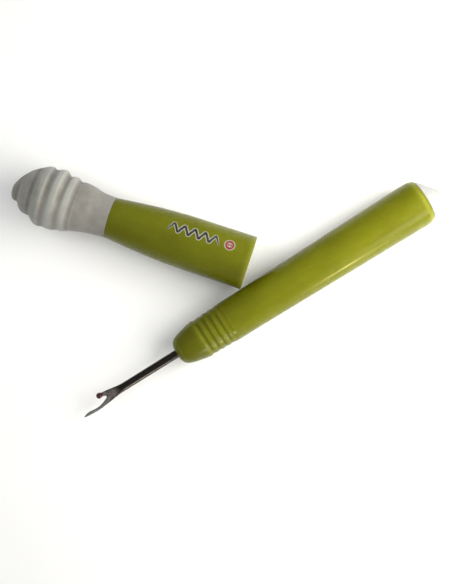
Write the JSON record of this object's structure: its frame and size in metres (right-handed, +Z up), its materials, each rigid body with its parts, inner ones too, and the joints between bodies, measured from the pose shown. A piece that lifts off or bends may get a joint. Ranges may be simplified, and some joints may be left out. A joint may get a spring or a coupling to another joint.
{
  "type": "seam ripper",
  "caption": "Capped seam ripper, uncapped: forked steel blade in a ringed green handle, cap with a ribbed rubber thread eraser.",
  "frame": {"origin": "centre of the bounding box, on the surface that the pair lies on", "axes": "+X along the handle from the blade's point to the tail, +Y from the handle towards the cap, +Z up"},
  "size_m": [0.1268, 0.0776, 0.0188],
  "materials": {
    "handle_green": "lime-green moulded plastic, satin gloss, slightly translucent",
    "cap_green": "lime-green moulded plastic, satin gloss, slightly translucent",
    "blade_steel": "drawn and forged steel rod, dark satin, ground cutting edge",
    "ball_red": "dark cherry-red glossy ball",
    "eraser_rubber": "matte white thermoplastic rubber",
    "inner_plastic": "white hard plastic"
  },
  "bodies": {
    "handle": {"handle_shell": "handle_green", "blade": "blade_steel", "blade_ball": "ball_red", "tail_ring": "inner_plastic", "tail_eraser": "eraser_rubber"},
    "cap": {"cap_shell": "cap_green", "cap_core": "inner_plastic", "cap_eraser": "eraser_rubber"}
  },
  "joints": [
    {"name": "cap_pull", "type": "slide", "parent": "handle", "child": "cap", "axis": [-0.6408, 0.7677, 0], "range_m": [0, 0.0601]}
  ]
}
